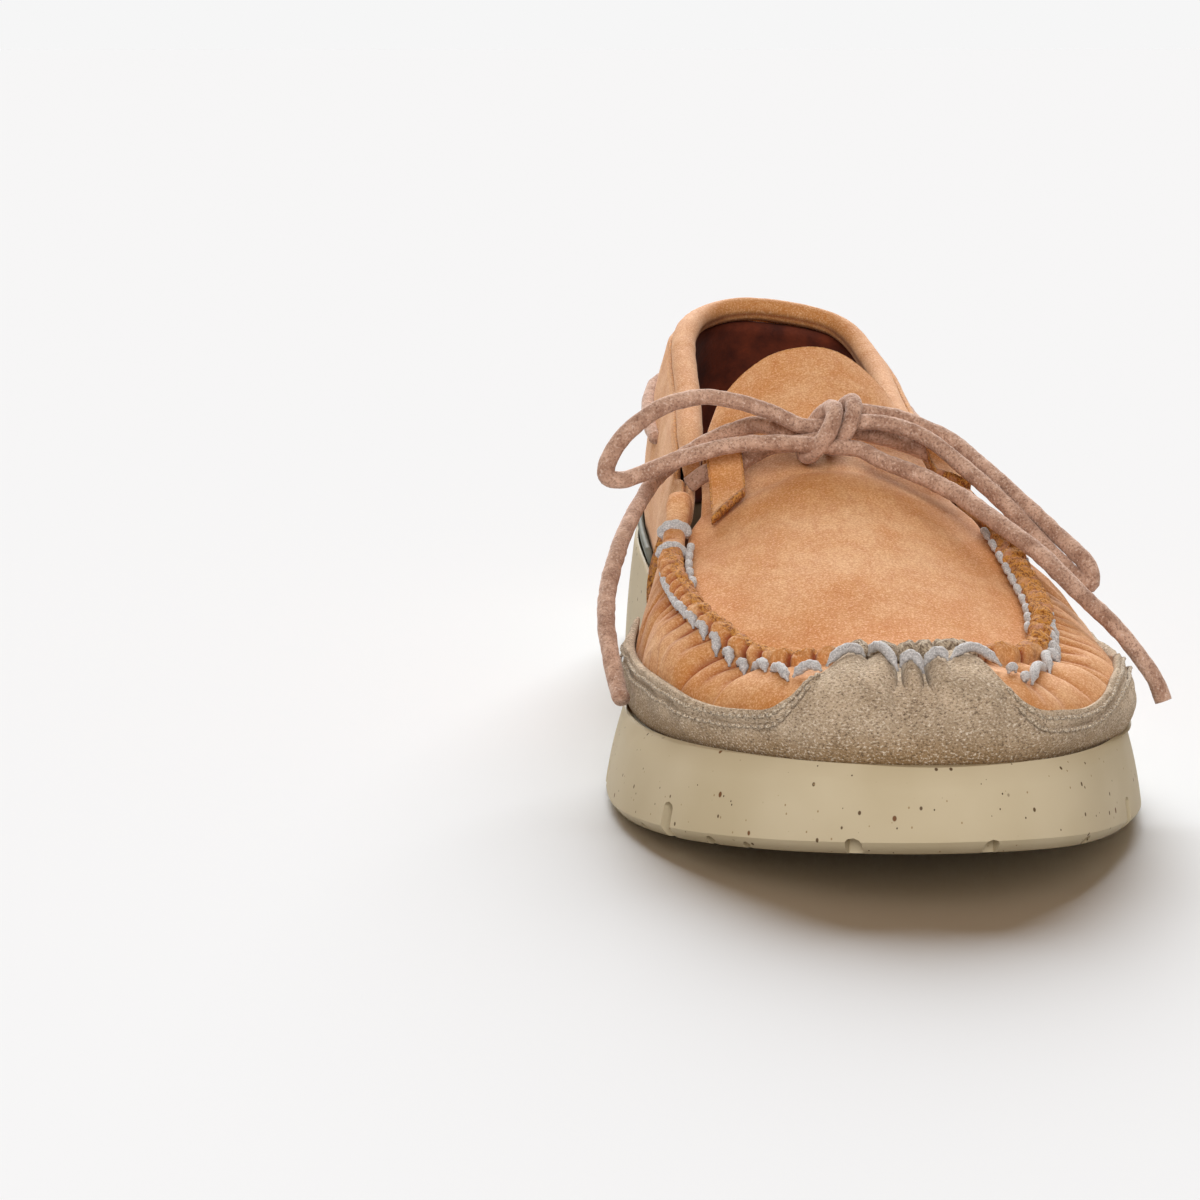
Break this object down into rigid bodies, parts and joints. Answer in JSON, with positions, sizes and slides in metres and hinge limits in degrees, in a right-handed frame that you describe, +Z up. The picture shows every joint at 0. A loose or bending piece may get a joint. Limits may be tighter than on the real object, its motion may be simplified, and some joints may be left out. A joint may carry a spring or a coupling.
{
  "type": "moccasin",
  "caption": "Left laced moccasin: gathered leather vamp and apron, suede toe guard, padded collar, tied leather lace and a thick notched cup sole.",
  "frame": {"origin": "under the middle of the sole, at the floor", "axes": "+Z up, +Y from the toe to the heel, +X towards the little-toe side"},
  "size_m": [0.1283, 0.3, 0.0962],
  "materials": {
    "nubuck": "brushed tan nubuck, matte",
    "suede": "taupe suede, napped",
    "lace_leather": "rolled leather lace, matte",
    "lining_leather": "red-brown lining leather",
    "thread": "thick waxed thread",
    "sole_rubber": "cream rubber with dark flecks, matte",
    "heel_rubber": "grey-green rubber, matte",
    "board": "fibre board"
  },
  "bodies": {
    "shoe": {"cup_sole": "sole_rubber", "insole_board": "board", "footbed": "lining_leather", "vamp": "nubuck", "toe_guard": "suede", "guard_stitch_inner_upper": "thread", "guard_stitch_inner_lower": "thread", "guard_stitch_outer_upper": "thread", "guard_stitch_outer_lower": "thread", "quarter_inner": "nubuck", "quarter_outer": "nubuck", "heel_counter": "board", "quarter_lining": "lining_leather", "heel_guard": "heel_rubber", "back_strip": "nubuck", "collar": "nubuck", "apron": "nubuck", "seam_thread": "thread", "wrap_stitch_front": "thread", "wrap_stitch_back": "thread", "lace_tab_inner": "nubuck", "lace_tab_outer": "nubuck", "lace_run_inner": "lace_leather", "lace_run_outer": "lace_leather", "lace_knot": "lace_leather", "lace_loop_inner": "lace_leather", "lace_loop_outer": "lace_leather", "ankle_lace_inner": "lace_leather", "ankle_lace_outer": "lace_leather", "lace_tail_inner": "lace_leather", "lace_tail_outer": "lace_leather"},
    "tongue": {"tongue_flap": "nubuck"}
  },
  "joints": [
    {"name": "tongue_lift", "type": "hinge", "parent": "shoe", "child": "tongue", "pos_m": [0, -0.003, 0.071], "axis": [1, 0, 0], "range_deg": [0, 24], "stiffness_Nm_per_rad": 0.03}
  ]
}
